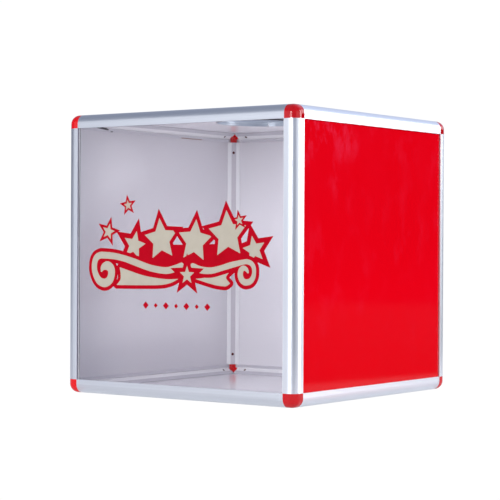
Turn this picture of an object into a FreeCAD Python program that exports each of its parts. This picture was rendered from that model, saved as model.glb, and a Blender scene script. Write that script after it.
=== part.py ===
import FreeCAD, Part
import os
import Sketcher
from FreeCAD import Vector, Rotation, Placement, Matrix

# Cube-shaped donation box.  Twelve hollow aluminium rails are joined by eight
# three-way plastic corner connectors.  Five boards and one clear window slide
# into the rail slots.  A snap-in ring lines the round hand hole in the top
# board, and a small hinged door with a cam lock closes the rear board.
# Millimetres.  Origin: centre of the footprint on the ground, Z up, the clear
# window faces -Y and the door faces +Y.

doc = FreeCAD.newDocument("donation_box")

# ---------------------------------------------------------------------------
# driving dimensions
# ---------------------------------------------------------------------------
sheet = doc.addObject("Spreadsheet::Sheet", "Dims")
DIMENSIONS = [
    ("box_size", 400.0),        # outer edge of the cube
    ("rail_face", 19.5),        # width of a rail's outer face, lip to corner
    ("corner_round", 13.0),     # outside rounding of rails and corner caps
    ("lip", 2.0),               # outer lip in front of a board
    ("slot_back", 5.2),         # inner wall of the board slot
    ("slot_floor", 11.5),       # bottom of the board slot
    ("inner_lip", 6.2),         # tip of the inner lip, start of the chamfer
    ("groove_half", 3.8),       # half width of the groove in the chamfer
    ("groove_deep", 1.6),       # depth of that groove
    ("hollow_out", 10.0),       # rail hollow: side next to the slot floors
    ("hollow_in", 6.7),         # rail hollow: behind the slots
    ("hollow_diag", 21.1),      # rail hollow: diagonal wall, u + v
    ("hollow_low", 2.2),        # rail hollow: next to the outer faces
    ("hollow_nose", 4.9),       # rail hollow: at the rounded edge
    ("plug_gap", 0.15),         # clearance of a connector arm in the hollow
    ("arm_reach", 28.0),        # arm length inside a rail
    ("pip_inset", 16.5),        # snap pip from the rail's end
    ("pip_radius", 2.0),
    ("pip_hole", 2.2),
    ("board_edge", 11.8),       # edge of a board from the outer face
    ("board_front", 2.1),       # outer side of a board from the outer face
    ("board_thick", 3.0),
    ("cap_bar", 11.4),          # solid edge bars of the corner cap
    ("hand_radius", 65.0),      # outside radius of the hand-hole collar
    ("hand_wall", 2.0),
    ("hand_flange", 75.0),      # flange radius on top of the board
    ("collar_drop", 2.0),       # collar below the underside of the top board
    ("door_half_wide", 80.0),   # half size of the opening in the rear board
    ("door_half_high", 100.0),
    ("door_gap", 0.6),
    ("door_height", 200.0),     # height of the door's centre
    ("hinge_spread", 65.0),     # hinge centres above and below the door centre
    ("knuckle_radius", 2.0),
    ("hinge_pin", 1.0),
    ("hinge_bore", 1.05),
    ("leaf_thick", 0.8),
    ("leaf_reach", 15.0),
    ("leaf_half_high", 15.0),
    ("notch", 2.3),             # room for a knuckle beside the hinge axis
    ("rivet_out", 10.0),        # rivets from the hinge axis
    ("lock_offset", 60.0),      # lock axis from the door's centre
    ("lock_radius", 8.0),
    ("plug_radius", 5.0),
    ("plug_bore", 5.05),
    ("cam_reach", 30.0),
    ("cam_half", 6.0),
    ("cam_thick", 1.5),
]
VALUES = {}
for row, (name, value) in enumerate(DIMENSIONS, start=1):
    sheet.set("A%d" % row, name)
    sheet.set("B%d" % row, "%g" % value)
    sheet.setAlias("B%d" % row, name)
    VALUES[name] = value
doc.recompute()


class Size:
    """A number together with the sheet expression that gives it."""

    def __init__(self, value, text):
        self.value = float(value)
        self.text = text

    def _join(self, other, sign, value, swap=False):
        other = other if isinstance(other, Size) else Size(other, "%.6g" % other)
        a, b = (other.text, self.text) if swap else (self.text, other.text)
        return Size(value, "(%s %s (%s))" % (a, sign, b))

    def __add__(self, o):
        return self._join(o, "+", self.value + num(o))

    def __radd__(self, o):
        return self._join(o, "+", num(o) + self.value, True)

    def __sub__(self, o):
        return self._join(o, "-", self.value - num(o))

    def __rsub__(self, o):
        return self._join(o, "-", num(o) - self.value, True)

    def __mul__(self, o):
        return self._join(o, "*", self.value * num(o))

    def __rmul__(self, o):
        return self._join(o, "*", num(o) * self.value, True)

    def __truediv__(self, o):
        return self._join(o, "/", self.value / num(o))


def num(x):
    return x.value if isinstance(x, Size) else float(x)


def S(name):
    return Size(VALUES[name], "Dims." + name)


def bind(obj, prop, size):
    """Set a length and tie it to the sheet where it comes from there."""
    if "." not in prop:
        setattr(obj, prop, num(size))
    if isinstance(size, Size):
        obj.setExpression(prop, size.text)


def place(obj, pos, rot=None):
    """Placement with sheet-driven base coordinates."""
    rot = rot if rot is not None else Rotation()
    obj.Placement = Placement(Vector(*[num(p) for p in pos]), rot)
    for axis, p in zip("xyz", pos):
        if isinstance(p, Size):
            obj.setExpression("Placement.Base." + axis, p.text)


def plane(body, role):
    return [f for f in body.Origin.OriginFeatures if f.Role == role][0]


def sketch(body, name, role="XY_Plane", offset=None):
    sk = body.newObject("Sketcher::SketchObject", name)
    sk.AttachmentSupport = [(plane(body, role), "")]
    sk.MapMode = "FlatFace"
    if offset is not None:
        sk.AttachmentOffset = Placement(Vector(0, 0, num(offset)), Rotation())
        if isinstance(offset, Size):
            sk.setExpression("AttachmentOffset.Base.z", offset.text)
    return sk


def pin_point(sk, index, end, x, y):
    for kind, c in (("DistanceX", x), ("DistanceY", y)):
        k = sk.addConstraint(Sketcher.Constraint(kind, -1, 1, index, end, num(c)))
        if isinstance(c, Size):
            sk.setExpression("Constraints[%d]" % k, c.text)


def outline(sk, points, arcs=None):
    """Closed outline; arcs maps a start index to (cx, cy, radius) of an arc
    that runs counter-clockwise to the next point."""
    arcs = arcs or {}
    n = len(points)
    ids = []
    for i in range(n):
        a, b = points[i], points[(i + 1) % n]
        pa = Vector(num(a[0]), num(a[1]), 0)
        pb = Vector(num(b[0]), num(b[1]), 0)
        if i in arcs:
            cx, cy, rad = arcs[i]
            c = Vector(num(cx), num(cy), 0)
            circle = Part.Circle(c, Vector(0, 0, 1), num(rad))
            first, last = circle.parameter(pa), circle.parameter(pb)
            geo = Part.ArcOfCircle(circle, first, last if last > first else last + 6.283185307)
        else:
            geo = Part.LineSegment(pa, pb)
        ids.append(sk.addGeometry(geo, False))
    for i in range(n):
        sk.addConstraint(Sketcher.Constraint("Coincident", ids[i], 2, ids[(i + 1) % n], 1))
    for i in range(n):
        pin_point(sk, ids[i], 1, points[i][0], points[i][1])
        if i in arcs:
            k = sk.addConstraint(Sketcher.Constraint("Radius", ids[i], num(arcs[i][2])))
            if isinstance(arcs[i][2], Size):
                sk.setExpression("Constraints[%d]" % k, arcs[i][2].text)


def circle(sk, x, y, rad):
    g = sk.addGeometry(Part.Circle(Vector(num(x), num(y), 0), Vector(0, 0, 1), num(rad)), False)
    pin_point(sk, g, 3, x, y)
    k = sk.addConstraint(Sketcher.Constraint("Radius", g, num(rad)))
    if isinstance(rad, Size):
        sk.setExpression("Constraints[%d]" % k, rad.text)


def pad(body, name, sk, length, reverse=False):
    f = body.newObject("PartDesign::Pad", name)
    f.Profile = sk
    bind(f, "Length", length)
    f.Reversed = reverse
    return f


def solid(body, kind, name, pos, rot=None, **sizes):
    f = body.newObject("PartDesign::" + kind, name)
    for key, value in sizes.items():
        bind(f, key, value)
    place(f, pos, rot)
    return f


def new_body(label):
    body = doc.addObject("PartDesign::Body", label)
    body.Label = label
    return body


NODES = {}
half = S("box_size") / 2
face = S("rail_face")
lip = S("lip")
back = S("slot_back")
floor = S("slot_floor")
tip = S("inner_lip")
rnd = S("corner_round")
SQ2 = 1.41421356
to_y = Rotation(Vector(1, 0, 0), -90)      # local Z turned to +Y
diagonal = Rotation(Vector(0, 0, 1), Vector(1, 1, 0))

# ---------------------------------------------------------------------------
# rails: one section, twelve places
# ---------------------------------------------------------------------------


def rail_section(sk):
    """Outer corner at the origin, both faces on the axes, the box's inside
    towards +X +Y: rounded edge, two board slots, inner chamfer with a groove."""
    mid = (face + tip) / 2
    side = S("groove_half") / SQ2
    deep = S("groove_deep") / SQ2
    outline(
        sk,
        [
            (rnd, 0),
            (face, 0),
            (face, lip),
            (floor, lip),
            (floor, back),
            (face, back),
            (face, tip),
            (mid + side, mid - side),
            (mid + side - deep, mid - side - deep),
            (mid - side - deep, mid + side - deep),
            (mid - side, mid + side),
            (tip, face),
            (back, face),
            (back, floor),
            (lip, floor),
            (lip, face),
            (0, face),
            (0, rnd),
        ],
        {17: (rnd, rnd, rnd)},
    )
    outline(sk, hollow_points(0))


def hollow_points(gap):
    """Hollow of a rail, or the section of an arm that fills it less a gap."""
    out = S("hollow_out") - gap
    inn = S("hollow_in") + gap
    diag = S("hollow_diag") - gap * SQ2 if isinstance(gap, Size) else S("hollow_diag")
    low = S("hollow_low") + gap * 1.6 if isinstance(gap, Size) else S("hollow_low")
    nose = S("hollow_nose") + gap * 1.4 if isinstance(gap, Size) else S("hollow_nose")
    return [
        (out, low),
        (out, inn),
        (diag - inn, inn),
        (inn, diag - inn),
        (inn, out),
        (low, out),
        (nose, nose),
    ]


def make_rail(label, columns, start, windows=()):
    """columns are the row directions of the section's X, Y and the length."""
    body = new_body(label)
    sk = sketch(body, label + "_section")
    rail_section(sk)
    length = S("box_size") - face * 2
    pad(body, label + "_bar", sk, length)
    low = S("pip_inset")
    for tag, z in (("near", low), ("far", length - low)):
        solid(
            body,
            "SubtractiveCylinder",
            "%s_hole_%s" % (label, tag),
            (9.4, 9.4, z),
            diagonal,
            Radius=S("pip_hole"),
            Height=7.0,
        )
    for k, (z0, long, wide) in enumerate(windows):
        # punched slot along the groove
        solid(
            body,
            "SubtractiveBox",
            "%s_punch_%d" % (label, k),
            (9.2 + wide / 2 / SQ2, 9.2 - wide / 2 / SQ2, z0),
            Rotation(Vector(0, 0, 1), 45),
            Length=7.0,
            Width=wide,
            Height=long,
        )
    m = Matrix()
    for c, v in enumerate(columns):
        for r in range(3):
            setattr(m, "A%d%d" % (r + 1, c + 1), v[r])
    place(body, start, Placement(m).Rotation)
    NODES[label] = body


def corner(sign):
    return half if sign > 0 else half * -1


def level(sign):
    return S("box_size") if sign > 0 else 0.0


def along(sign):
    """Start of a bar between two corner caps, for a bar that runs along sign."""
    return (half - face) if sign < 0 else (face - half)


SIDE = {(-1, "x"): "left", (1, "x"): "right", (-1, "y"): "front", (1, "y"): "rear",
        (-1, "z"): "bottom", (1, "z"): "top"}

for sx in (-1, 1):
    for sy in (-1, 1):
        d = sx * sy
        make_rail(
            "post_%s_%s" % (SIDE[sy, "y"], SIDE[sx, "x"]),
            [(-sx, 0, 0), (0, -sy, 0), (0, 0, d)],
            (corner(sx), corner(sy), face if d > 0 else S("box_size") - face),
        )
for sy in (-1, 1):
    for sz in (-1, 1):
        d = -sy * sz
        make_rail(
            "rail_%s_%s" % (SIDE[sy, "y"], SIDE[sz, "z"]),
            [(0, -sy, 0), (0, 0, -sz), (-d, 0, 0)],
            (along(-d), corner(sy), level(sz)),
        )
for sx in (-1, 1):
    for sz in (-1, 1):
        d = sz * sx
        punched = [(293.5, 28.0, 2.4)] if (sx, sz) == (-1, 1) else []
        make_rail(
            "rail_%s_%s" % (SIDE[sx, "x"], SIDE[sz, "z"]),
            [(0, 0, -sz), (-sx, 0, 0), (0, d, 0)],
            (corner(sx), along(d), level(sz)),
            punched,
        )

# ---------------------------------------------------------------------------
# corner connectors: rounded cap, three arms with snap pips
# ---------------------------------------------------------------------------


def make_connector(label, columns, start):
    body = new_body(label)
    block = solid(body, "AdditiveBox", label + "_block", (0, 0, 0), Length=face, Width=face, Height=face)
    doc.recompute()
    edges = []
    for i, edge in enumerate(block.Shape.Edges, start=1):
        c = edge.CenterOfMass
        if sum(1 for v in (c.x, c.y, c.z) if abs(v) < 1e-6) == 2:
            edges.append("Edge%d" % i)
    fil = body.newObject("PartDesign::Fillet", label + "_round")
    fil.Base = (block, edges)
    bind(fil, "Radius", rnd)
    bar = S("cap_bar")
    room = face - bar + 1
    deep = face - lip + 1
    # seats for the corners of the three boards
    solid(body, "SubtractiveBox", label + "_seat_z", (bar, bar, lip), Length=room, Width=room, Height=deep)
    solid(body, "SubtractiveBox", label + "_seat_x", (lip, bar, bar), Length=deep, Width=room, Height=room)
    solid(body, "SubtractiveBox", label + "_seat_y", (bar, lip, bar), Length=room, Width=deep, Height=room)
    start_at = 7.0
    reach = face + S("arm_reach") - start_at
    for tag, role, off, rev in (
        ("z", "XY_Plane", start_at, False),
        ("y", "XZ_Plane", -start_at, True),
        ("x", "YZ_Plane", start_at, False),
    ):
        sk = sketch(body, "%s_arm_section_%s" % (label, tag), role, off)
        outline(sk, hollow_points(S("plug_gap")))
        pad(body, "%s_arm_%s" % (label, tag), sk, reach, rev)
    pip = face + S("pip_inset")
    for tag, pos, way in (
        ("z", (7.0, 7.0, pip), Vector(1, 1, 0)),
        ("y", (7.0, pip, 7.0), Vector(1, 0, 1)),
        ("x", (pip, 7.0, 7.0), Vector(0, 1, 1)),
    ):
        solid(
            body,
            "AdditiveCylinder",
            "%s_pip_%s" % (label, tag),
            pos,
            Rotation(Vector(0, 0, 1), way),
            Radius=S("pip_radius"),
            Height=6.1,
        )
    m = Matrix()
    for c, v in enumerate(columns):
        for r in range(3):
            setattr(m, "A%d%d" % (r + 1, c + 1), v[r])
    place(body, start, Placement(m).Rotation)
    NODES[label] = body


for sx in (-1, 1):
    for sy in (-1, 1):
        for sz in (-1, 1):
            label = "corner_%s_%s_%s" % (SIDE[sy, "y"], SIDE[sx, "x"], SIDE[sz, "z"])
            ax = [(-sx, 0, 0), (0, -sy, 0), (0, 0, -sz)]
            if sx * sy * sz > 0:
                # keep the frame right-handed: the cap is symmetric in its arms
                ax = [ax[1], ax[0], ax[2]]
            make_connector(label, ax, (corner(sx), corner(sy), level(sz)))

# ---------------------------------------------------------------------------
# boards and window
# ---------------------------------------------------------------------------
edge = half - S("board_edge")
thick = S("board_thick")
inset = S("board_front")


def square(sk, h):
    outline(sk, [(h * -1, h * -1), (h, h * -1), (h, h), (h * -1, h)])


# each board is drawn in its own XY plane and grows towards its outer face
BOARD_ROT = {
    "front": Rotation(Vector(1, 0, 0), 90),
    "rear": Rotation(Vector(0, 0, 1), 180).multiply(Rotation(Vector(1, 0, 0), 90)),
    "left": Rotation(Vector(0, 0, 1), -90).multiply(Rotation(Vector(1, 0, 0), 90)),
    "right": Rotation(Vector(0, 0, 1), 90).multiply(Rotation(Vector(1, 0, 0), 90)),
    "top": Rotation(),
    "bottom": Rotation(Vector(1, 0, 0), 180),
}
skin = half - inset - thick          # inner face of a board from the centre
BOARD_POS = {
    "front": (0, skin * -1, half),
    "rear": (0, skin, half),
    "left": (skin * -1, 0, half),
    "right": (skin, 0, half),
    "top": (0, 0, half + skin),
    "bottom": (0, 0, half - skin),
}


def make_board(label, side):
    body = new_body(label)
    sk = sketch(body, label + "_outline")
    square(sk, edge)
    pad(body, label + "_sheet", sk, thick)
    place(body, BOARD_POS[side], BOARD_ROT[side])
    NODES[label] = body
    return body


make_board("front_window", "front")
make_board("left_panel", "left")
make_board("right_panel", "right")
make_board("base_panel", "bottom")

top = make_board("top_panel", "top")
sk = sketch(top, "top_panel_hole_outline")
circle(sk, 0, 0, S("hand_radius") + 0.2)
hole = top.newObject("PartDesign::Pocket", "top_panel_hole")
hole.Profile = sk
bind(hole, "Length", thick)
hole.Reversed = True

# hinge axis: in the door gap on the +X side, level with the outer face
outer_y = half - inset
axis_x = S("door_half_wide") - S("door_gap") / 2
dw = S("door_half_wide")
dh = S("door_half_high")
dz = S("door_height") - half         # door centre above the board's centre
notch = S("notch")
spread = S("hinge_spread")
lh = S("leaf_half_high") + 0.8


def hinge_side(x, reach, order):
    """Edge points beside the hinges, from the first level to the last."""
    pts = []
    for s in order:
        z = spread * s
        a, b = (z - lh, z + lh) if order[0] < order[-1] else (z + lh, z - lh)
        pts += [(x, a), (reach, a), (reach, b), (x, b)]
    return pts


rear = new_body("rear_panel")
sk = sketch(rear, "rear_panel_outline")
square(sk, edge)
# seen from behind the sketch's X runs towards -X of the box
open_pts = [(dw * -1, dh * -1), (dw, dh * -1), (dw, dh), (dw * -1, dh)]
inner = (
    [(dw, dh * -1), (dw, dh), (dw * -1, dh)]
    + hinge_side(dw * -1, (axis_x + notch) * -1, (1, -1))
    + [(dw * -1, dh * -1)]
)
outline(sk, [(x, z + dz) for x, z in inner])
pad(rear, "rear_panel_sheet", sk, thick)
for s in (-1, 1):
    for t in (-1, 1):
        solid(
            rear,
            "SubtractiveCylinder",
            "rear_panel_rivet_%d_%d" % (s + 1, t + 1),
            ((axis_x + S("rivet_out")) * -1, spread * s + 10.0 * t + dz, -1),
            Radius=1.6,
            Height=5,
        )
place(rear, BOARD_POS["rear"], BOARD_ROT["rear"])
NODES["rear_panel"] = rear

# frame of stop strip bonded inside the opening
stop = new_body("door_stop_frame")
sk = sketch(stop, "door_stop_outline")
for grow in (4.0, -5.0):
    w, h = dw + grow, dh + grow
    outline(sk, [(w * -1, h * -1 + dz), (w, h * -1 + dz), (w, h + dz), (w * -1, h + dz)])
pad(stop, "door_stop_strip", sk, 3.0)
place(stop, (0, skin - 3.3, half), BOARD_ROT["rear"])
NODES["door_stop_frame"] = stop

# ---------------------------------------------------------------------------
# hand-hole ring
# ---------------------------------------------------------------------------
ring = new_body("hand_hole_ring")
sk = sketch(ring, "hand_ring_section", "XZ_Plane")
hr = S("hand_radius")
hi = hr - S("hand_wall")
fl = S("hand_flange")
board_top = inset * -1               # heights below the top of the box
board_low = board_top - thick
low = board_low - S("collar_drop")
outline(
    sk,
    [
        (hi + 0.5, low),
        (hr, low),
        (hr, board_top + 0.05),
        (fl, board_top + 0.05),
        (fl, board_top + 0.9),
        (fl - 1.2, -0.1),
        (hi + 1.0, -0.1),
        (hi, -1.1),
        (hi, -3.4),
        (hi + 0.5, -3.9),
    ],
)
rev = ring.newObject("PartDesign::Revolution", "hand_ring_turned")
rev.Profile = sk
rev.ReferenceAxis = (sk, ["V_Axis"])
rev.Angle = 360
doc.recompute()
finger = 21.0                        # first snap finger, degrees from -Y to +X
tool = []
for k, off in enumerate((-4.3, 4.3)):
    c = solid(
        ring,
        "SubtractiveBox",
        "hand_ring_slit_%d" % k,
        (0, 0, 0),
        Length=1.3,
        Width=6.0,
        Height=4.4,
    )
    r = Rotation(Vector(0, 0, 1), finger)
    base = r.multVec(Vector(off - 0.65, -67.0, 0))
    place(c, (base.x, base.y, low - 1.0), r)
    tool.append(c)
pol = ring.newObject("PartDesign::PolarPattern", "hand_ring_slits")
pol.Originals = tool
pol.Axis = (sk, ["V_Axis"])
pol.Angle = 360
pol.Occurrences = 4
ring.Tip = pol
doc.recompute()
r = Rotation(Vector(0, 0, 1), finger)
base = r.multVec(Vector(-3.3, -65.9, 0))
barb = solid(
    ring, "AdditiveBox", "hand_ring_barb", (base.x, base.y, low), r, Length=6.6, Width=1.8, Height=1.6
)
pol2 = ring.newObject("PartDesign::PolarPattern", "hand_ring_barbs")
pol2.Originals = [barb]
pol2.Axis = (sk, ["V_Axis"])
pol2.Angle = 360
pol2.Occurrences = 4
ring.Tip = pol2
place(ring, (0, 0, S("box_size")))
NODES["hand_hole_ring"] = ring

# ---------------------------------------------------------------------------
# rear door, hinges and rivets
# ---------------------------------------------------------------------------
door = new_body("access_door")
sk = sketch(door, "access_door_outline")
gw = dw - S("door_gap")
gh = dh - S("door_gap")
pts = (
    [(gw, gh * -1), (gw, gh), (gw * -1, gh)]
    + hinge_side(gw * -1, (axis_x - notch) * -1, (1, -1))
    + [(gw * -1, gh * -1)]
)
outline(sk, [(x, z + dz) for x, z in pts])
circle(sk, S("lock_offset"), dz, S("lock_radius") + 0.15)
pad(door, "access_door_sheet", sk, thick)
for s in (-1, 1):
    for t in (-1, 1):
        solid(
            door,
            "SubtractiveCylinder",
            "access_door_rivet_%d_%d" % (s + 1, t + 1),
            ((axis_x - S("rivet_out")) * -1, spread * s + 10.0 * t + dz, -1),
            Radius=1.6,
            Height=5,
        )
place(door, BOARD_POS["rear"], BOARD_ROT["rear"])
NODES["access_door"] = door

kr = S("knuckle_radius")
lt = S("leaf_thick")
lr = S("leaf_reach")
hh = S("leaf_half_high")


def make_leaf(label, side, z_level, knuckles):
    """side +1 lies on the rear board, -1 on the door; local Z is the pin."""
    body = new_body(label)
    x0 = notch if side > 0 else lr * -1
    solid(body, "AdditiveBox", label + "_plate", (x0, 0, hh * -1), Length=lr - notch, Width=lt, Height=hh * 2)
    for k, (a, b) in enumerate(knuckles):
        cx = 0.9 if side > 0 else -3.4
        solid(body, "AdditiveBox", "%s_web_%d" % (label, k), (cx, 0, a), Length=2.5, Width=lt, Height=b - a)
        solid(body, "AdditiveCylinder", "%s_knuckle_%d" % (label, k), (0, 0, a), Radius=kr, Height=b - a)
        solid(
            body, "SubtractiveCylinder", "%s_bore_%d" % (label, k), (0, 0, a - 1), Radius=S("hinge_bore"), Height=b - a + 2
        )
    for t in (-1, 1):
        solid(
            body,
            "SubtractiveCylinder",
            "%s_hole_%d" % (label, t + 1),
            (S("rivet_out") * side, -1, 10.0 * t),
            to_y,
            Radius=1.6,
            Height=3,
        )
    place(body, (axis_x, outer_y, z_level))
    NODES[label] = body


for tag, s in (("upper", 1), ("lower", -1)):
    z_level = S("door_height") + spread * s
    make_leaf("%s_hinge_fixed_leaf" % tag, 1, z_level, [(-15.0, -5.3), (5.3, 15.0)])
    make_leaf("%s_hinge_door_leaf" % tag, -1, z_level, [(-5.0, 5.0)])
    body = new_body("%s_hinge_pin" % tag)
    n = body.Label
    solid(body, "AdditiveCylinder", n + "_shank", (0, 0, -15.2), Radius=S("hinge_pin"), Height=30.4)
    solid(body, "AdditiveCylinder", n + "_head_a", (0, 0, 15.05), Radius=1.6, Height=0.7)
    solid(body, "AdditiveCylinder", n + "_head_b", (0, 0, -15.75), Radius=1.6, Height=0.7)
    place(body, (axis_x, outer_y, z_level))
    NODES[n] = body


def make_rivets(label, x):
    """Four blind rivets as one group: shank, domed head, rear head."""
    group = []
    for s in (-1, 1):
        for t in (-1, 1):
            tag = "%s_%d_%d" % (label, s + 1, t + 1)
            shank = doc.addObject("Part::Cylinder", tag + "_shank")
            shank.Radius = 1.5
            bind(shank, "Height", thick + lt + 0.4)
            shank.Placement = Placement(Vector(0, 0, -0.2), Rotation())
            rear_head = doc.addObject("Part::Cylinder", tag + "_rear")
            rear_head.Radius = 2.4
            rear_head.Height = 0.6
            rear_head.Placement = Placement(Vector(0, 0, -0.6), Rotation())
            head = doc.addObject("Part::Cone", tag + "_head")
            head.Radius1 = 2.75
            head.Radius2 = 1.7
            head.Height = 0.9
            place(head, (0, 0, thick + lt))
            one = doc.addObject("Part::MultiFuse", tag)
            one.Shapes = [shank, rear_head, head]
            place(one, (x, skin, S("door_height") + spread * s + 10.0 * t), to_y)
            group.append(one)
    comp = doc.addObject("Part::Compound", label)
    comp.Label = label
    comp.Links = group
    NODES[label] = comp


make_rivets("hinge_rivets_panel", axis_x + S("rivet_out"))
make_rivets("hinge_rivets_door", axis_x - S("rivet_out"))

# ---------------------------------------------------------------------------
# cam lock on the free side of the door; local Z is the lock axis (+Y outward)
# ---------------------------------------------------------------------------
lock_pos = (S("lock_offset") * -1, skin, S("door_height"))
lrad = S("lock_radius")
body = new_body("lock_housing")
solid(body, "AdditiveCylinder", "lock_housing_barrel", (0, 0, -4.0), Radius=lrad, Height=thick + 4.0)
solid(body, "AdditiveCylinder", "lock_housing_flange", (0, 0, thick), Radius=11.0, Height=1.2)
solid(body, "AdditiveCone", "lock_housing_bezel", (0, 0, thick + 1.2), Radius1=11.0, Radius2=9.6, Height=0.8)
solid(body, "SubtractiveCylinder", "lock_housing_bore", (0, 0, -5.0), Radius=S("plug_bore"), Height=thick + 8)
place(body, lock_pos, to_y)
NODES["lock_housing"] = body

body = new_body("lock_nut")
sk = sketch(body, "lock_nut_outline")
hexr = 11.5
outline(
    sk,
    [
        (hexr, 0.0),
        (hexr / 2, hexr * 0.8660254),
        (-hexr / 2, hexr * 0.8660254),
        (-hexr, 0.0),
        (-hexr / 2, -hexr * 0.8660254),
        (hexr / 2, -hexr * 0.8660254),
    ],
)
circle(sk, 0, 0, lrad + 0.05)
pad(body, "lock_nut_blank", sk, 3.0)
place(body, (lock_pos[0], skin - 3.0, lock_pos[2]), to_y)
NODES["lock_nut"] = body

body = new_body("lock_plug")
solid(body, "AdditiveCylinder", "lock_plug_core", (0, 0, -4.3), Radius=S("plug_radius"), Height=thick + 5.9)
solid(body, "AdditiveCylinder", "lock_plug_stub", (0, 0, -5.8), Radius=3.0, Height=1.6)
solid(body, "SubtractiveBox", "lock_plug_keyway", (-0.8, -3.2, -1.0), Length=1.6, Width=6.4, Height=9.0)
solid(body, "SubtractiveCylinder", "lock_plug_thread", (0, 0, -6.0), Radius=1.25, Height=4.5)
place(body, lock_pos, to_y)
NODES["lock_plug"] = body

# cam hangs down at rest: towards local +Y, which is -Z of the box
body = new_body("lock_cam")
sk = sketch(body, "lock_cam_outline")
ch = S("cam_half")
cr = S("cam_reach")
outline(
    sk,
    [(ch, 0), (ch, cr - 3.0), (ch - 3.0, cr), (3.0 - ch, cr), (ch * -1, cr - 3.0), (ch * -1, 0)],
)
pad(body, "lock_cam_plate", sk, S("cam_thick"))
solid(body, "AdditiveCylinder", "lock_cam_hub", (0, 0, 0), Radius=ch, Height=S("cam_thick"))
solid(body, "SubtractiveCylinder", "lock_cam_hole", (0, 0, -1), Radius=3.05, Height=4.0)
place(body, (lock_pos[0], skin - 5.8, lock_pos[2]), to_y)
NODES["lock_cam"] = body

body = new_body("lock_cam_screw")
solid(body, "AdditiveCylinder", "lock_cam_screw_head", (0, 0, -7.5), Radius=3.6, Height=1.65)
solid(body, "AdditiveCylinder", "lock_cam_screw_shank", (0, 0, -6.0), Radius=1.2, Height=4.2)
solid(body, "SubtractiveBox", "lock_cam_screw_slot", (-4.0, -0.4, -7.6), Length=8.0, Width=0.8, Height=0.8)
place(body, lock_pos, to_y)
NODES["lock_cam_screw"] = body

# ---------------------------------------------------------------------------
# recompute, check, write
# ---------------------------------------------------------------------------
doc.recompute()
for obj in doc.Objects:
    if "Invalid" in obj.State or "Error" in obj.State:
        raise RuntimeError("%s: %s" % (obj.Label, obj.State))
    shape = getattr(obj, "Shape", None)
    if shape is not None and obj.TypeId != "Sketcher::SketchObject" and hasattr(obj, "Placement"):
        if obj.TypeId.startswith(("PartDesign", "Part::")) and (shape.isNull() or not shape.isValid()):
            raise RuntimeError("%s has a bad shape" % obj.Label)
    if obj.TypeId.startswith("PartDesign::Subtractive"):
        before = obj.BaseFeature.Shape.Volume
        if obj.Shape.Volume >= before - 1e-6:
            raise RuntimeError("%s cuts nothing" % obj.Label)

# the sheet still drives the pockets: the round hole must have been cut
if top.Shape.Volume > (num(edge) * 2) ** 2 * num(thick) - 3.1 * num(hr) ** 2 * num(thick):
    raise RuntimeError("hand hole not cut")

os.makedirs("parts", exist_ok=True)
for label, obj in NODES.items():
    obj.Shape.exportStep("parts/%s.step" % label)
    box = obj.Shape.BoundBox
    print("%-26s %d solid  %8.1f mm3  x %7.2f %7.2f  y %7.2f %7.2f  z %7.2f %7.2f" % (
        label, len(obj.Shape.Solids), obj.Shape.Volume,
        box.XMin, box.XMax, box.YMin, box.YMax, box.ZMin, box.ZMax))
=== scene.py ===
import math

import bpy
import numpy as np
from mathutils import Matrix, Vector


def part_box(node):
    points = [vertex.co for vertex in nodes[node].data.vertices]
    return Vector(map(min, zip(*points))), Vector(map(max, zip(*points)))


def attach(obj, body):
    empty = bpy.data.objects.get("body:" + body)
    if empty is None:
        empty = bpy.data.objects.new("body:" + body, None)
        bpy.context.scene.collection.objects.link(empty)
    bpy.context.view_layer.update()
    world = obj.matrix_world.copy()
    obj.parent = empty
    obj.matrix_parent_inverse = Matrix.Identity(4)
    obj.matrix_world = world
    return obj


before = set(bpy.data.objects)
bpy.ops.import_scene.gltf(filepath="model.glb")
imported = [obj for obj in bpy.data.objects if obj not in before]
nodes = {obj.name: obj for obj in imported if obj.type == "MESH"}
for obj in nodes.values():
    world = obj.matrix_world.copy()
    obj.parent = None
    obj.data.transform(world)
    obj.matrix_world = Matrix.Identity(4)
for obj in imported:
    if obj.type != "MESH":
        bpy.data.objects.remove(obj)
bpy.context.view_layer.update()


def lin(r, g, b):
    """sRGB 0-255 to linear, with alpha 1."""
    out = []
    for c in (r, g, b):
        c = c / 255.0
        out.append(c / 12.92 if c <= 0.04045 else ((c + 0.055) / 1.055) ** 2.4)
    return (*out, 1.0)


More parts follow.
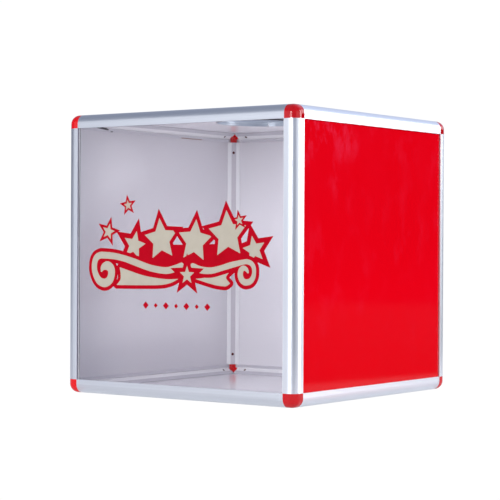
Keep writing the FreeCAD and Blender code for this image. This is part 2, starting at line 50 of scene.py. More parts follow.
class Mat:
    """A node material built with short calls."""

    def __init__(self, name):
        self.mat = bpy.data.materials.new(name)
        self.mat.use_nodes = True
        self.nt = self.mat.node_tree
        self.nt.nodes.clear()
        self.out = self.new("ShaderNodeOutputMaterial")
        self.coord = self.new("ShaderNodeTexCoord").outputs["Object"]

    def new(self, kind, **values):
        n = self.nt.nodes.new(kind)
        for k, v in values.items():
            setattr(n, k, v)
        return n

    def link(self, a, b):
        self.nt.links.new(a, b)
        return b

    def put(self, socket, value):
        if isinstance(value, bpy.types.NodeSocket):
            self.nt.links.new(value, socket)
        else:
            socket.default_value = value

    def mapped(self, scale=(1, 1, 1), loc=(0, 0, 0), rot=(0, 0, 0)):
        m = self.new("ShaderNodeMapping")
        m.inputs["Scale"].default_value = scale
        m.inputs["Location"].default_value = loc
        m.inputs["Rotation"].default_value = rot
        self.link(self.coord, m.inputs["Vector"])
        return m.outputs["Vector"]

    def noise(self, scale, detail=3.0, rough=0.55, vec=None, stretch=(1, 1, 1), loc=(0, 0, 0)):
        n = self.new("ShaderNodeTexNoise")
        n.inputs["Scale"].default_value = scale
        n.inputs["Detail"].default_value = detail
        n.inputs["Roughness"].default_value = rough
        self.link(vec if vec is not None else self.mapped(stretch, loc), n.inputs["Vector"])
        return n.outputs["Fac"]

    def remap(self, value, a, b, lo=0.0, hi=1.0, smooth=False):
        m = self.new("ShaderNodeMapRange")
        m.clamp = True
        if smooth:
            m.interpolation_type = "SMOOTHSTEP"
        self.put(m.inputs["Value"], value)
        m.inputs["From Min"].default_value = a
        m.inputs["From Max"].default_value = b
        m.inputs["To Min"].default_value = lo
        m.inputs["To Max"].default_value = hi
        return m.outputs["Result"]

    def math(self, op, a, b=0.0, c=0.0):
        m = self.new("ShaderNodeMath", operation=op)
        self.put(m.inputs[0], a)
        self.put(m.inputs[1], b)
        self.put(m.inputs[2], c)
        return m.outputs[0]

    def mix(self, fac, a, b, blend="MIX"):
        m = self.new("ShaderNodeMix", data_type="RGBA", blend_type=blend)
        self.put(m.inputs[0], fac)
        self.put(m.inputs[6], a)
        self.put(m.inputs[7], b)
        return m.outputs[2]

    def xyz(self):
        s = self.new("ShaderNodeSeparateXYZ")
        self.link(self.coord, s.inputs[0])
        return s.outputs

    def bump(self, height, distance, strength=1.0, normal=None):
        b = self.new("ShaderNodeBump")
        b.inputs["Strength"].default_value = strength
        b.inputs["Distance"].default_value = distance
        self.link(height, b.inputs["Height"])
        if normal is not None:
            self.link(normal, b.inputs["Normal"])
        return b.outputs["Normal"]

    def shader(self, **values):
        p = self.new("ShaderNodeBsdfPrincipled")
        for k, v in values.items():
            self.put(p.inputs[k.replace("_", " ")], v)
        return p.outputs[0]

    def done(self, shader):
        self.link(shader, self.out.inputs["Surface"])
        return self.mat


# ---------------------------------------------------------------------------
# materials
# ---------------------------------------------------------------------------
def across(m, pos, k):
    """Distance from the middle of the box along axis k."""
    v = pos[k] if k < 2 else m.math("SUBTRACT", pos[k], 0.2)
    return m.math("ABSOLUTE", v)


# chamfer and channel are painted light and shade for the inner chamfer and its groove: by default a lighter chamfer and
# a darker groove
def aluminium(name, axis, base=(0.80, 0.825, 0.87, 1.0), rough=0.36, chamfer=(0.90, 0.905, 0.92, 1), channel=(0.66, 0.64, 0.68, 1), marks=False):
    """Satin anodised extrusion: die lines along the bar, faint mill bands."""
    m = Mat(name)
    fine = [5200.0, 5200.0, 5200.0]
    wide = [420.0, 420.0, 420.0]
    fine["xyz".index(axis)] = 9.0
    wide["xyz".index(axis)] = 2.2
    lines = m.noise(1.0, 2.0, 0.6, stretch=tuple(fine))
    bands = m.noise(1.0, 3.0, 0.5, stretch=tuple(wide), loc=(3.1, 1.7, 5.3))
    grain = m.noise(2600.0, 2.0, 0.5)
    tone = m.mix(m.remap(bands, 0.3, 0.7), tuple(c * 0.965 for c in base[:3]) + (1,), tuple(min(1.0, c * 1.02) for c in base[:3]) + (1,))
    tone = m.mix(m.remap(lines, 0.35, 0.75, 0.0, 0.10), tone, (0.62, 0.64, 0.70, 1))
    # across the section: distance out along the diagonal tells the inner chamfer, its groove and the outer faces apart;
    # these two get their own tones, painted light and shade
    pos = m.xyz()
    a, b = ["xyz".index(k) for k in "xyz" if k != axis]
    out = m.math("ADD", across(m, pos, a), across(m, pos, b))
    skew = m.math("ABSOLUTE", m.math("SUBTRACT", across(m, pos, a), across(m, pos, b)))
    groove = m.math("MULTIPLY", m.remap(out, 0.37462, 0.37490), m.remap(out, 0.3772, 0.3768))
    groove = m.math("MULTIPLY", groove, m.remap(skew, 0.0060, 0.0056))
    inner = m.math("MULTIPLY", m.remap(out, 0.3758, 0.3754), m.math("SUBTRACT", 1.0, groove))
    tone = m.mix(inner, tone, chamfer)
    tone = m.mix(groove, tone, channel)
    if marks:
        # painted shade in the slanted slot, a small dark dot and a thin brown line on the left rail
        along = pos[1]
        down = m.math("SUBTRACT", across(m, pos, a), across(m, pos, b))
        inside = m.remap(out, 0.3778, 0.3772)
        slope = m.math("MULTIPLY", m.math("ADD", along, 0.143), 0.15)
        line = m.math("ABSOLUTE", m.math("SUBTRACT", m.math("SUBTRACT", down, 0.0042), slope))
        slot_shade = m.math("MULTIPLY", m.remap(line, 0.0021, 0.0015), m.math("MULTIPLY", m.remap(along, -0.1490, -0.1465), m.remap(along, -0.1180, -0.1205)))
        dark_dot = m.math("MULTIPLY", m.remap(m.math("ABSOLUTE", m.math("ADD", along, 0.1095)), 0.0030, 0.0022), m.remap(down, 0.0105, 0.0112))
        brown_line = m.math("MULTIPLY", m.math("MULTIPLY", m.remap(along, 0.056, 0.058), m.remap(along, 0.111, 0.109)), m.remap(down, 0.0108, 0.0116))
        tone = m.mix(m.math("MULTIPLY", brown_line, inside), tone, (0.30, 0.17, 0.13, 1))
        tone = m.mix(m.math("MULTIPLY", m.math("MAXIMUM", slot_shade, dark_dot), inside), tone, (0.03, 0.02, 0.03, 1))
    r = m.math("ADD", m.remap(lines, 0.3, 0.7, rough - 0.035, rough + 0.045), m.remap(grain, 0.3, 0.7, -0.02, 0.03))
    n = m.bump(lines, 0.000012, 0.5)
    n = m.bump(grain, 0.000006, 0.35, n)
    s = m.shader(Base_Color=tone, Metallic=m.remap(m.math("MAXIMUM", inner, groove), 0.0, 1.0, 1.0, 0.25), Roughness=r, Normal=n)
    return m.done(s)


def gloss_red(name, base, core, rough=0.16, spec=0.5, coat=0.0):
    """Glossy moulded plastic with a little flow marking and orange peel."""
    m = Mat(name)
    flow = m.noise(38.0, 4.0, 0.6)
    fine = m.noise(900.0, 2.0, 0.5)
    peel = m.noise(240.0, 2.0, 0.4)
    tone = m.mix(m.remap(flow, 0.35, 0.7), base, tuple(c * 0.90 for c in base[:3]) + (1,))
    # the core towards the inside is a clearer red; the caps towards -x get a lighter red, painted light, and the arms
    # in the rails are painted dark, painted shade
    pos = m.xyz()
    parts = [across(m, pos, k) for k in range(3)]
    total = m.math("ADD", m.math("ADD", parts[0], parts[1]), parts[2])
    least = m.math("MINIMUM", m.math("MINIMUM", parts[0], parts[1]), parts[2])
    # painted light: the caps towards -x are a lighter red
    tone = m.mix(m.remap(pos[0], -0.05, -0.15), tone, lin(224, 0, 10))
    tone = m.mix(m.remap(total, 0.558, 0.550), tone, core)
    # painted shade: the arms inside the rails are near black
    tone = m.mix(m.remap(least, 0.1785, 0.1780), tone, tuple(c * 0.16 for c in base[:3]) + (1,))
    r = m.math("ADD", m.remap(flow, 0.3, 0.7, rough - 0.02, rough + 0.05), m.remap(fine, 0.3, 0.7, -0.01, 0.02))
    n = m.bump(peel, 0.00004, 0.25)
    n = m.bump(fine, 0.000008, 0.3, n)
    s = m.shader(Base_Color=tone, Roughness=r, Normal=n, Specular_IOR_Level=spec, Coat_Weight=coat, Coat_Roughness=0.06)
    soft = m.shader(Base_Color=tone, Roughness=m.math("ADD", r, 0.25), Normal=n, Specular_IOR_Level=0.08)
    mixer = m.new("ShaderNodeMixShader")
    m.link(m.remap(total, 0.558, 0.550), mixer.inputs[0])
    m.link(s, mixer.inputs[1])
    m.link(soft, mixer.inputs[2])
    return m.done(mixer.outputs[0])


def board(name, axis, sign, middle, inside=1.0):
    """Board with a glossy red film outside and pale grey plastic inside.
    middle is the coordinate, in metres, that parts the film from the core."""
    m = Mat(name)
    pos = m.xyz()["xyz".index(axis)]
    if sign > 0:
        outside = m.remap(pos, middle - 0.00002, middle + 0.00002)
    else:
        outside = m.remap(pos, -middle + 0.00002, -middle - 0.00002, 0.0, 1.0)
    cloud = m.noise(5.5, 5.0, 0.62, loc=(0.7, 2.9, 1.3))
    smear = m.noise(14.0, 4.0, 0.6, stretch=(1.0, 1.0, 0.35), loc=(4.0, 1.0, 2.0))
    peel = m.noise(170.0, 2.0, 0.4)
    fine = m.noise(1500.0, 2.0, 0.5)
    red = m.mix(m.remap(cloud, 0.42, 0.72, 0.0, 0.55), RED_FILM, RED_FILM_PALE)
    wipe = m.noise(34.0, 5.0, 0.66, stretch=(1.0, 1.0, 0.55), loc=(1.0, 6.0, 3.0))
    spots = m.noise(9.0, 2.0, 0.5, loc=(8.0, 2.5, 6.0))
    xyz = m.xyz()
    high = m.math("MULTIPLY", m.remap(xyz[2], 0.26, 0.35, smooth=True), m.remap(xyz[1], 0.04, -0.15, smooth=True))
    marks = m.math("MULTIPLY", m.remap(wipe, 0.50, 0.70), m.remap(spots, 0.38, 0.58))
    marks = m.math("MULTIPLY", marks, m.math("ADD", m.math("MULTIPLY", high, 0.75), 0.10))
    red = m.mix(marks, red, RED_SMEAR)
    # painted shade: the red film darkens towards the bottom edge
    red = m.mix(m.remap(xyz[2], 0.15, 0.01, 0.0, 1.0), red, RED_FILM_LOW_SHADE)
    # inside scales the pale grey per board: painted light and shade
    grey = m.mix(m.remap(cloud, 0.35, 0.7), tuple(min(1.0, c * inside) for c in GREY_IN[:3]) + (1,), tuple(min(1.0, c * inside) for c in GREY_IN_2[:3]) + (1,))
    grey = m.mix(m.remap(fine, 0.45, 0.75, 0.0, 0.06), grey, (0.45, 0.44, 0.48, 1))
    tone = m.mix(outside, grey, red)
    r_in = m.remap(smear, 0.3, 0.7, 0.12, 0.145)
    r_out = m.remap(smear, 0.3, 0.75, 0.04, 0.10)
    r = m.math("ADD", m.math("MULTIPLY", outside, r_out), m.math("MULTIPLY", m.math("SUBTRACT", 1.0, outside), r_in))
    n = m.bump(peel, 0.000025, 0.12)
    n = m.bump(fine, 0.000006, 0.25, n)
    a = m.shader(Base_Color=tone, Roughness=r, Normal=n, Specular_IOR_Level=0.5)
    b = m.shader(Base_Color=tone, Roughness=r, Normal=n, Specular_IOR_Level=0.15)
    mixer = m.new("ShaderNodeMixShader")
    m.link(outside, mixer.inputs[0])
    m.link(a, mixer.inputs[1])
    m.link(b, mixer.inputs[2])
    return m.done(mixer.outputs[0])


def clear_window(name):
    """Clear acrylic: real glass for the eye, open to lamps and soft light."""
    m = Mat(name)
    haze = m.noise(9.0, 4.0, 0.6, stretch=(1.0, 1.0, 0.5))
    tint = m.mix(m.remap(haze, 0.3, 0.7), (0.985, 0.985, 0.992, 1), (0.97, 0.97, 0.98, 1))
    glass = m.shader(Base_Color=tint, Roughness=m.remap(haze, 0.4, 0.8, 0.0, 0.008), Transmission_Weight=1.0, IOR=1.18)
    path = m.new("ShaderNodeLightPath")
    soft = m.math("MAXIMUM", path.outputs["Is Shadow Ray"], path.outputs["Is Diffuse Ray"])
    clear = m.new("ShaderNodeBsdfTransparent")
    clear.inputs[0].default_value = (0.93, 0.93, 0.94, 1)
    mixer = m.new("ShaderNodeMixShader")
    m.link(soft, mixer.inputs[0])
    m.link(glass, mixer.inputs[1])
    m.link(clear.outputs[0], mixer.inputs[2])
    # pale strip along both posts, with a dark line at its outer edge: painted shade of the gap in the posts' slots
    pale = m.mix(m.remap(haze, 0.3, 0.7), (0.80, 0.80, 0.83, 1), (0.74, 0.74, 0.78, 1))
    pale = m.mix(m.remap(m.math("ABSOLUTE", m.xyz()[0]), 0.17925, 0.17940), pale, (0.10, 0.08, 0.12, 1))
    strip = m.shader(Base_Color=pale, Roughness=0.5, Specular_IOR_Level=0.3)
    edge = m.new("ShaderNodeMixShader")
    m.link(m.remap(m.math("ABSOLUTE", m.xyz()[0]), 0.17840, 0.17855), edge.inputs[0])
    m.link(mixer.outputs[0], edge.inputs[1])
    m.link(strip, edge.inputs[2])
    return m.done(edge.outputs[0])


def metal(name, base, rough, scale=2200.0, metallic=1.0, dark_collar=False):
    m = Mat(name)
    a = m.noise(scale, 3.0, 0.6)
    b = m.noise(60.0, 3.0, 0.6)
    tone = m.mix(m.remap(b, 0.35, 0.7), base, tuple(c * 0.86 for c in base[:3]) + (1,))
    if dark_collar:
        # shaded outside of the collar under the top board
        x, y, z = m.xyz()
        away = m.math("SQRT", m.math("ADD", m.math("MULTIPLY", x, x), m.math("MULTIPLY", y, y)), 0.0)
        shade = m.math("MULTIPLY", m.remap(away, 0.06440, 0.06455), m.remap(z, 0.3965, 0.3960))
        tone = m.mix(shade, tone, (0.035, 0.02, 0.03, 1))
    r = m.math("ADD", m.remap(a, 0.3, 0.7, rough - 0.05, rough + 0.06), m.remap(b, 0.3, 0.7, -0.02, 0.04))
    s = m.shader(Base_Color=tone, Metallic=metallic, Roughness=r, Normal=m.bump(a, 0.00001, 0.4))
    return m.done(s)


def matte(name, base, rough=0.5):
    m = Mat(name)
    a = m.noise(700.0, 3.0, 0.6)
    b = m.noise(45.0, 3.0, 0.6)
    tone = m.mix(m.remap(b, 0.35, 0.7), base, tuple(c * 0.9 for c in base[:3]) + (1,))
    s = m.shader(Base_Color=tone, Roughness=m.remap(a, 0.3, 0.7, rough - 0.05, rough + 0.08), Normal=m.bump(a, 0.00003, 0.3))
    return m.done(s)


def ink(name, base, dark):
    """Screen-printed ink: faint mesh texture and thickness change."""
    m = Mat(name)
    mesh = m.noise(3500.0, 1.0, 0.4)
    flow = m.noise(60.0, 4.0, 0.6)
    tone = m.mix(m.remap(flow, 0.3, 0.75), base, dark)
    tone = m.mix(m.remap(mesh, 0.4, 0.8, 0.0, 0.10), tone, dark)
    s = m.shader(Base_Color=tone, Roughness=m.remap(mesh, 0.3, 0.7, 0.38, 0.5), Normal=m.bump(mesh, 0.00001, 0.3), Specular_IOR_Level=0.05)
    return m.done(s)


RED_FILM = lin(229, 1, 20)
RED_FILM_PALE = lin(231, 6, 30)
# painted shade colour for the bottom of the red film
RED_FILM_LOW_SHADE = lin(210, 0, 14)
RED_SMEAR = lin(234, 58, 96)
GREY_IN = lin(239, 237, 242)
GREY_IN_2 = lin(235, 233, 239)

# painted light and shade for the level rails: a darker chamfer and a lighter groove, the reverse of the posts
FLAT_RAIL_LIGHT_AND_SHADE = dict(chamfer=(0.60, 0.59, 0.64, 1), channel=(0.88, 0.88, 0.90, 1))
alu = {
    "x": aluminium("rail_aluminium_x", "x", **FLAT_RAIL_LIGHT_AND_SHADE),
    "y": aluminium("rail_aluminium_y", "y", **FLAT_RAIL_LIGHT_AND_SHADE),
    "z": aluminium("rail_aluminium_z", "z"),
    "left": aluminium("rail_aluminium_left", "y", marks=True, **FLAT_RAIL_LIGHT_AND_SHADE),
}
cap_red = gloss_red("cap_red", lin(193, 0, 14), lin(172, 0, 18), rough=0.06, spec=0.42, coat=0.0)
window = clear_window("window_acrylic")
ring_metal = metal("ring_silver", (0.33, 0.37, 0.44, 1), 0.25, metallic=0.2, dark_collar=True)
steel = metal("hinge_steel", (0.56, 0.56, 0.57, 1), 0.34)
rivet = metal("rivet_aluminium", (0.80, 0.80, 0.82, 1), 0.30)
chrome = metal("lock_chrome", (0.72, 0.72, 0.74, 1), 0.12)
nickel = metal("lock_nickel", (0.60, 0.57, 0.50, 1), 0.24)
zinc = metal("lock_zinc", (0.58, 0.58, 0.56, 1), 0.38)
strip_grey = matte("stop_strip_grey", lin(200, 199, 208))

FILM = 0.1976          # plane between the red film and the core, metres from the centre
# the last number scales the grey inside: painted light on the top board, painted shade on the left and rear boards
boards = {
    "right_panel": board("board_right", "x", 1, FILM),
    "left_panel": board("board_left", "x", -1, FILM, 0.90),
    "rear_panel": board("board_rear", "y", 1, FILM, 0.89),
    "top_panel": board("board_top", "z", 1, 0.2 + FILM, 1.12),
    "base_panel": board("board_base", "z", -1, FILM - 0.2, 1.0),
}
boards["access_door"] = boards["rear_panel"]


def give(node, mat):
    mesh = nodes[node].data
    mesh.materials.clear()
    mesh.materials.append(mat)


for name in nodes:
    if name.startswith("post_"):
        give(name, alu["z"])
    elif name.startswith("rail_front") or name.startswith("rail_rear"):
        give(name, alu["x"])
    elif name == "rail_left_top":
        give(name, alu["left"])
    elif name.startswith("rail_"):
        give(name, alu["y"])
    elif name.startswith("corner_"):
        give(name, cap_red)
    elif name in boards:
        give(name, boards[name])
    elif name == "front_window":
        give(name, window)
    elif name == "hand_hole_ring":
        give(name, ring_metal)
    elif name == "door_stop_frame":
        give(name, strip_grey)
    elif "rivets" in name:
        give(name, rivet)
    elif "hinge" in name:
        give(name, steel)
    elif name in ("lock_housing", "lock_nut"):
        give(name, chrome)
    elif name == "lock_plug":
        give(name, nickel)
    else:
        give(name, zinc)


# ---------------------------------------------------------------------------
# printed ornament on the window: stars, a scroll and a line of diamonds
# ---------------------------------------------------------------------------
STEP = 0.5                                  # mm between samples of the outline
X0, X1, Z0, Z1 = -176.0, 172.0, 116.0, 290.0
gx = np.arange(X0, X1 + STEP, STEP)
gz = np.arange(Z0, Z1 + STEP, STEP)
GX, GZ = np.meshgrid(gx, gz)
FAR = 1e3
cream = np.full(GX.shape, FAR)
red = np.full(GX.shape, FAR)


def poly_distance(pts):
    """Signed distance to a closed polygon, negative inside."""
    d = np.full(GX.shape, FAR * FAR)
    inside = np.zeros(GX.shape, bool)
    n = len(pts)
    for i in range(n):
        ax, az = pts[i]
        bx, bz = pts[(i + 1) % n]
        ex, ez = bx - ax, bz - az
        wx, wz = GX - ax, GZ - az
        t = np.clip((wx * ex + wz * ez) / (ex * ex + ez * ez), 0, 1)
        d = np.minimum(d, (wx - ex * t) ** 2 + (wz - ez * t) ** 2)
        cross = (az > GZ) != (bz > GZ)
        if az != bz:
            inside ^= cross & (GX < (bx - ax) * (GZ - az) / (bz - az) + ax)
    d = np.sqrt(d)
    return np.where(inside, -d, d)


def band_distance(pts, widths):
    """Signed distance to a band of changing half width along a line."""
    best = np.full(GX.shape, FAR)
    for (ax, az), (bx, bz), wa, wb in zip(pts[:-1], pts[1:], widths[:-1], widths[1:]):
        ex, ez = bx - ax, bz - az
        wx, wz = GX - ax, GZ - az
        t = np.clip((wx * ex + wz * ez) / max(ex * ex + ez * ez, 1e-9), 0, 1)
        d = np.hypot(wx - ex * t, wz - ez * t) - (wa + (wb - wa) * t)
        best = np.minimum(best, d)
    return best


def star(cx, cz, size, turn=0.0, waist=0.42, points=5):
    out = []
    for k in range(points * 2):
        r = size if k % 2 == 0 else size * waist
        a = math.radians(90 + turn) + math.pi * k / points
        out.append((cx + r * math.cos(a), cz + r * math.sin(a)))
    return out


def add(cream_d, red_d):
    """Lay one shape over the rest: its outline cuts what lies under it."""
    global cream, red
    cream = np.maximum(cream, -red_d)
    cream = np.minimum(cream, cream_d)
    red = np.minimum(red, red_d)


def add_star(cx, cz, size, grow, turn=0.0, waist=0.42):
    add(poly_distance(star(cx, cz, size, turn, waist)), poly_distance(star(cx, cz, size + grow, turn, waist)))


def bezier(p0, p1, p2, p3, n=24):
    t = np.linspace(0, 1, n)[:, None]
    p0, p1, p2, p3 = (np.array(p, float) for p in (p0, p1, p2, p3))
    return (1 - t) ** 3 * p0 + 3 * (1 - t) ** 2 * t * p1 + 3 * (1 - t) * t * t * p2 + t ** 3 * p3


def curl(cx, cz, r0, r1, a0, a1, n=40):
    a = np.radians(np.linspace(a0, a1, n))
    r = np.linspace(r0, r1, n)
    return np.stack([cx + r * np.cos(a), cz + r * np.sin(a)], 1)


EDGE = 5.2


def smooth(pts, n=10):
    """Dense points of a smooth curve through pts, of any number of columns."""
    p = np.array(pts, float)
    p = np.concatenate([2 * p[:1] - p[1:2], p, 2 * p[-1:] - p[-2:-1]])
    t = np.linspace(0, 1, n, endpoint=False)[:, None]
    out = []
    for k in range(1, len(p) - 2):
        a, b, c, d = p[k - 1], p[k], p[k + 1], p[k + 2]
        out.append(0.5 * (2 * b + (c - a) * t + (2 * a - 5 * b + 4 * c - d) * t ** 2 + (3 * b - a - 3 * c + d) * t ** 3))
    out.append(p[-2:-1])
    return np.concatenate(out)


def add_band(rows):
    """Ribbon through rows of x, z and half width."""
    c = smooth(rows)
    d = band_distance([tuple(q) for q in c[:, :2]], list(np.maximum(c[:, 2], 0.3)))
    add(d, d - EDGE)


def add_leaf(*sides):
    """Closed shape from smooth sides that meet at sharp corners."""
    loop = np.concatenate([smooth(side, 6)[:-1] for side in sides])
    d = poly_distance([tuple(q) for q in loop])
    add(d, d - EDGE)


def add_red(pts):
    global red
    red = np.minimum(red, poly_distance(pts))


def disc(cx, cz, r, n=24):
    return [(cx + r * math.cos(2 * math.pi * k / n), cz + r * math.sin(2 * math.pi * k / n)) for k in range(n)]


# stars: a row rising to the right, small ones at its left end
add_star(-75, 213, 20.5, 18, turn=-12, waist=0.46)
add_star(132, 208, 19.0, 17, turn=12, waist=0.46)
add_star(-27, 221, 30.0, 13, turn=6, waist=0.50)
add_star(32, 219, 30.0, 13, turn=-5, waist=0.50)
add_star(88, 228, 33.0, 13, turn=4, waist=0.50)
add_star(-87, 269, 8.0, 7.6, turn=8)
add_star(-123, 232, 12.0, 9.8, turn=-14)

# red ground that ties the stars to the wave
ground = poly_distance([(-100, 196), (-78, 208), (-27, 214), (32, 214), (90, 216), (124, 208), (120, 192), (62, 184), (20, 190), (-20, 182), (-62, 190)])
red = np.minimum(red, ground)

# tails of the scroll, under the main wave
add_leaf(
    [(-101.8, 181.8), (-83.4, 177.0), (-55.5, 170.3), (-19.0, 166.3), (4.4, 167.0)],
    [(4.4, 167.0), (-9.9, 161.1), (-28.0, 158.0), (-64.0, 157.0), (-107.7, 156.5)],
    [(-107.7, 156.5), (-100.8, 163.5), (-99.9, 171.1), (-101.8, 181.8)],
)
add_leaf(
    [(33.3, 167.5), (48.0, 169.0), (64.7, 171.8), (80.0, 176.2), (95.6, 180.1)],
    [(95.6, 180.1), (88.0, 174.2), (85.9, 169.0), (92.6, 162.2)],
    [(92.6, 162.2), (86.5, 158.6), (80.3, 158.2), (66.5, 159.7), (50.0, 163.3), (33.3, 167.5)],
)

# main wave with a curl at each end
add_band([
    (-135.6, 176.0, 1.4), (-132.5, 181.4, 4.3), (-125.0, 183.7, 6.3), (-118.2, 179.8, 6.5), (-116.9, 172.5, 6.2),
    (-119.6, 164.6, 6.2), (-125.2, 160.2, 6.1), (-131.8, 159.2, 6.0), (-140.0, 162.3, 5.6), (-146.0, 170.0, 5.2),
    (-149.0, 179.2, 4.9), (-148.4, 188.6, 4.9), (-145.0, 195.0, 4.9), (-138.6, 198.2, 4.8), (-130.8, 198.5, 4.8),
    (-112.0, 197.4, 4.6), (-92.9, 194.1, 4.5), (-74.2, 189.2, 4.8), (-46.4, 181.5, 4.6), (-19.0, 178.1, 4.7),
    (-1.0, 181.4, 4.8), (9.0, 185.0, 4.4),
])
add_band([
    (122.0, 177.6, 1.4), (120.0, 180.8, 2.6), (115.4, 183.2, 3.4), (110.8, 180.4, 4.1), (109.3, 174.1, 4.4),
    (111.6, 167.8, 4.4), (116.0, 164.6, 4.3), (120.6, 164.2, 4.2), (126.4, 166.0, 4.0), (130.6, 171.0, 3.6),
    (132.1, 177.2, 3.2), (131.4, 184.2, 3.3), (127.4, 189.4, 3.4), (121.0, 191.6, 3.4), (114.1, 191.1, 3.4),
    (93.8, 186.9, 4.1), (76.7, 182.4, 4.0), (59.5, 179.0, 4.4), (42.0, 180.0, 4.8), (29.0, 184.5, 4.4),
])
add_red(disc(-129.7, 171.3, 6.2))
add_red(disc(118.5, 172.9, 5.0))

# small stars on top of the rest
add_star(107, 247, 7.5, 7.0, turn=10)
add_star(18.9, 172.2, 13.2, 17.5, turn=0, waist=0.42)

# line of small diamonds where a caption would be
for k in range(7):
    cx = -54.0 + 18.0 * k
    s = 5.2 if k % 2 == 0 else 3.4
    d = poly_distance([(cx - s, 129.5), (cx, 129.5 - s), (cx + s, 129.5), (cx, 129.5 + s)])
    red = np.minimum(red, d)


def outlines(field):
    """Closed loops of the line where field crosses zero, thinned to 0.03 mm."""
    inside = field < 0
    count = inside[:-1, :-1].astype(int) + inside[:-1, 1:] + inside[1:, :-1] + inside[1:, 1:]
    links = {}

    def spot(p, q):
        return (p, q) if p < q else (q, p)

    def where(key):
        (i, j), (k, l) = key
        a, b = field[i, j], field[k, l]
        t = a / (a - b)
        return (gx[j] + (gx[l] - gx[j]) * t, gz[i] + (gz[k] - gz[i]) * t)

    for i, j in np.argwhere((count > 0) & (count < 4)):
        i, j = int(i), int(j)
        ring = [(i, j), (i, j + 1), (i + 1, j + 1), (i + 1, j)]
        cuts = [spot(ring[q], ring[(q + 1) % 4]) for q in range(4) if inside[ring[q]] != inside[ring[(q + 1) % 4]]]
        for q in range(0, len(cuts), 2):
            a, b = cuts[q], cuts[q + 1]
            links.setdefault(a, []).append(b)
            links.setdefault(b, []).append(a)
    loops, seen = [], set()
    for start in sorted(links):
        if start in seen:
            continue
        loop, here, came = [start], start, None
        seen.add(start)
        while True:
            ahead = [k for k in links[here] if k != came and k not in seen]
            if not ahead:
                break
            came, here = here, ahead[0]
            seen.add(here)
            loop.append(here)
        if len(loop) > 5:
            loops.append(thin(np.array([where(k) for k in loop]), 0.03))
    return loops


def thin(pts, tol):
    """Drop the points of a closed loop that lie within tol of the line."""
    far = int(np.argmax(np.hypot(*(pts - pts[0]).T)))

    def keep(a, b):
        stack, marks = [(a, b)], {a, b}
        while stack:
            lo, hi = stack.pop()
            if hi - lo < 2:
                continue
            p, q = ring[lo], ring[hi]
            e = q - p
            length = math.hypot(*e) or 1e-9
            dist = np.abs((ring[lo + 1:hi, 0] - p[0]) * e[1] - (ring[lo + 1:hi, 1] - p[1]) * e[0]) / length
            k = int(np.argmax(dist))
            if dist[k] > tol:
                marks.add(lo + 1 + k)
                stack += [(lo, lo + 1 + k), (lo + 1 + k, hi)]
        return marks

    ring = np.concatenate([pts, pts[:1]])
    marks = keep(0, far) | keep(far, len(ring) - 1)
    return [tuple(ring[k]) for k in sorted(marks) if k < len(pts)]


def sheet_of(field, name, y, thick, mat):
    """Closed thin film of the region where field < 0, with a smooth outline."""
    curve = bpy.data.curves.new(name + "_outline", "CURVE")
    curve.dimensions = "2D"
    curve.fill_mode = "BOTH"
    curve.extrude = thick / 2
    for loop in outlines(field):
        sp = curve.splines.new("POLY")
        sp.points.add(len(loop) - 1)
        for pt, (x, z) in zip(sp.points, loop):
            pt.co = (x / 1000, z / 1000, 0, 1)
        sp.use_cyclic_u = True
    tmp = bpy.data.objects.new(name + "_outline", curve)
    bpy.context.scene.collection.objects.link(tmp)
    deps = bpy.context.evaluated_depsgraph_get()
    mesh = bpy.data.meshes.new_from_object(tmp.evaluated_get(deps))
    bpy.data.objects.remove(tmp)
    bpy.data.curves.remove(curve)
    mesh.name = name
    mesh.transform(Matrix(((1, 0, 0, 0), (0, 0, -1, y + thick / 2), (0, 1, 0, 0), (0, 0, 0, 1))))
    import bmesh

    bm = bmesh.new()
    bm.from_mesh(mesh)
    bmesh.ops.remove_doubles(bm, verts=bm.verts, dist=1e-7)
    bmesh.ops.recalc_face_normals(bm, faces=bm.faces)
    bm.to_mesh(mesh)
    bm.free()
    ob = bpy.data.objects.new(name, mesh)
    bpy.context.scene.collection.objects.link(ob)
    mesh.materials.clear()
    mesh.materials.append(mat)
    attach(ob, "box")
    return ob


ink_red = ink("print_red", lin(182, 0, 26), lin(170, 0, 22))
ink_cream = ink("print_cream", lin(187, 179, 163), lin(180, 171, 155))
face_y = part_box("front_window")[0][1]
print_red = sheet_of(red, "window_print_red", face_y - 0.00009, 0.00007, ink_red)
print_cream = sheet_of(cream, "window_print_cream", face_y - 0.00016, 0.00005, ink_cream)

# ---------------------------------------------------------------------------
# floor, light and camera
# ---------------------------------------------------------------------------
FLOOR_R, FLOOR_TONE, FLOOR_GLOW = 4.0, 0.88, 0.40
FLOOR_FADES = [(8, 0.375, 0.45, 0.02), (-45, 0.45, 1.0, 0.15)]
# soft panels and dark places of the studio: azimuth and elevation in degrees,
# radius of the full part, radius where it ends, gain or factor
BASE = 0.34
GLOWS = [(85, 38, 14, 43, 0.50)]
SHADES = [
    (58.2, 0, 6, 10, 0.02),
    (-172, 8, 12, 50, 0.60),
]
# name, azimuth, half width and elevations from the box in degrees, radiance,
# and whether shiny surfaces mirror it
SOFTBOXES = [
    ("softbox_left", -84.0, 8.5, -2.0, 26.0, 8.8, True),
    ("skirt_left", -116.0, 21.0, -2.0, 26.0, 0.72, True),
    ("key_left", -90.0, 15.5, -2.0, 26.0, 2.8, False),
    ("softbox_right", 33.0, 10.5, -2.0, 31.0, 8.0, True),
    ("skirt_right", -3.0, 24.0, -2.0, 26.0, 0.8, True),
    ("rear_right", 61.0, 9.0, 8.0, 28.0, 2.6, True),
    ("key_right", 28.5, 17.5, 2.0, 26.0, 1.8, False),
    ("fill_low", -58.0, 20.0, 0.0, 10.0, 1.0, False),
]

